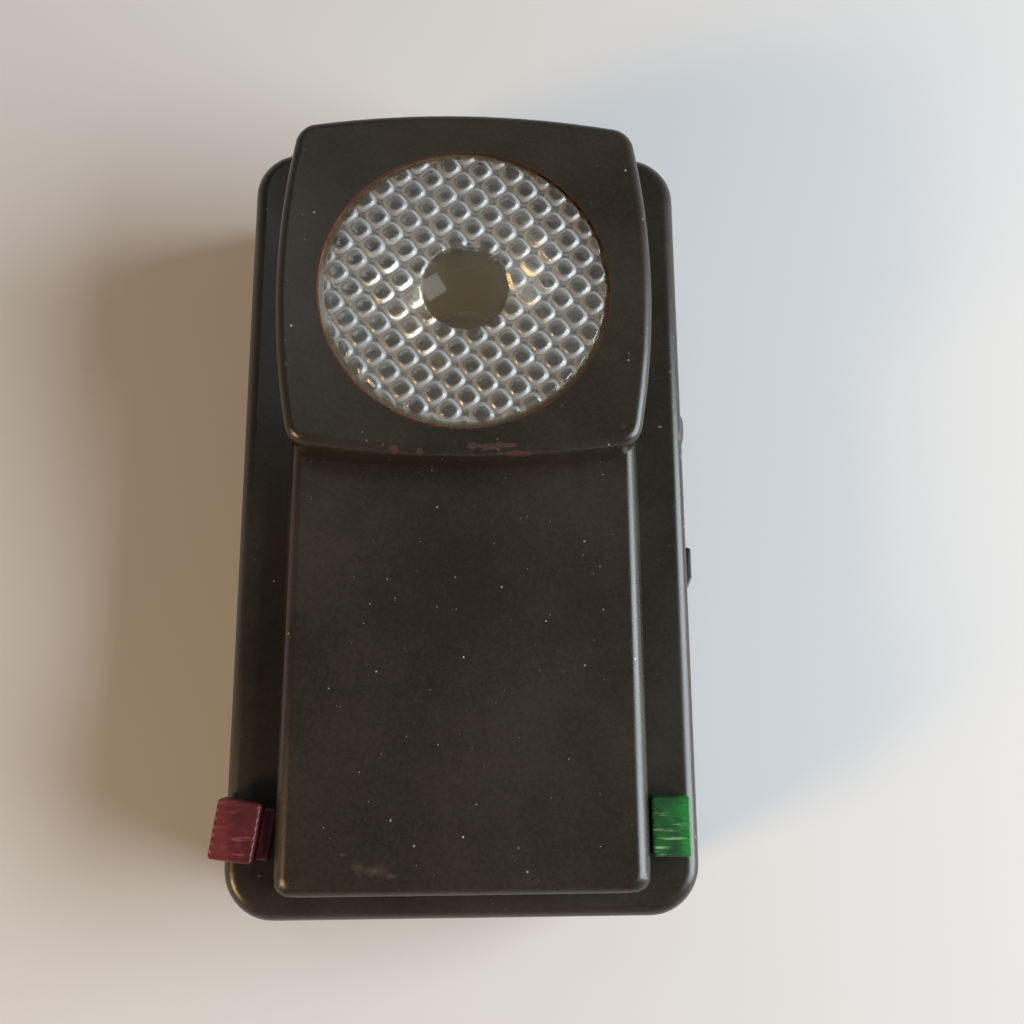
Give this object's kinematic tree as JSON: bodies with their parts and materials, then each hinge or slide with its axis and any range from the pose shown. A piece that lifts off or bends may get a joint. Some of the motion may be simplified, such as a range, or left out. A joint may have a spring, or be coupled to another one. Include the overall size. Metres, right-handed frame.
{
  "type": "morse signal lamp",
  "caption": "Flat pocket signal lamp with a square bowed head, patterned lens, sliding red and green filters, switch slide, morse key and hinged back.",
  "frame": {"origin": "middle of the back face, on which the lamp lies", "axes": "+X across the lamp towards the switch, +Y towards the head, +Z out of the front"},
  "size_m": [0.0701, 0.1195, 0.0375],
  "materials": {
    "case_paint": "semi-gloss dark olive-brown paint",
    "lens_clear": "clear moulded, patterned face",
    "cork": "matt cork",
    "spring_steel": "plain bright steel",
    "tinned_sheet": "tinned sheet",
    "mirror_metal": "polished",
    "red_plastic": "deep red, translucent",
    "green_plastic": "green, translucent",
    "brass": "plain",
    "bulb_glass": "clear",
    "solder": "dull",
    "fibre": "brown laminated board",
    "jacket": "plain printed-paper jacket without print",
    "black_plastic": "black, slightly worn"
  },
  "bodies": {
    "case": {"front_shell": "case_paint", "hinge_pin": "spring_steel", "head_bezel": "case_paint", "lens": "lens_clear", "lens_cork": "cork", "lens_cup": "spring_steel", "filter_deck": "tinned_sheet", "filter_divider": "tinned_sheet", "reflector": "mirror_metal", "bulb_base": "brass", "bulb_tip": "solder", "bulb_glass": "bulb_glass", "bulb_socket": "brass", "battery": "jacket", "battery_long_strip": "brass", "battery_short_strip": "brass", "contact_bridge": "fibre", "tip_contact": "brass", "side_contact": "brass", "long_rivet": "brass", "short_rivet": "brass", "key_bracket": "spring_steel"},
    "cover": {"rear_cover": "case_paint", "cover_spring": "spring_steel"},
    "red_slider": {"red_filter": "red_plastic", "red_tab": "red_plastic"},
    "green_slider": {"green_filter": "green_plastic", "green_tab": "green_plastic"},
    "switch": {"switch_slide": "black_plastic", "switch_wiper": "brass"},
    "key": {"morse_key": "black_plastic"},
    "key_leaf": {"key_spring": "brass"}
  },
  "joints": [
    {"name": "cover_hinge", "type": "hinge", "parent": "case", "child": "cover", "pos_m": [0, -0.0599, 0.006], "axis": [-1, 0, 0], "range_deg": [0, 150]},
    {"name": "red_filter_slide", "type": "slide", "parent": "case", "child": "red_slider", "axis": [0, 1, 0], "range_m": [0, 0.039]},
    {"name": "green_filter_slide", "type": "slide", "parent": "case", "child": "green_slider", "axis": [0, 1, 0], "range_m": [0, 0.039]},
    {"name": "switch_on", "type": "slide", "parent": "case", "child": "switch", "axis": [0, 1, 0], "range_m": [0, 0.006]},
    {"name": "morse_press", "type": "slide", "parent": "case", "child": "key", "axis": [-1, 0, 0], "range_m": [0, 0.0015], "stiffness_N_per_m": 20, "springref_m": -0.0005},
    {"name": "key_leaf_swing", "type": "hinge", "parent": "case", "child": "key_leaf", "pos_m": [0.03045, 0.02675, 0.0145], "axis": [0, 0, -1], "range_deg": [0, 8]}
  ],
  "couplings": [
    {"joint": "key_leaf_swing", "follows": "morse_press", "rad_per_m": 84.746}
  ]
}
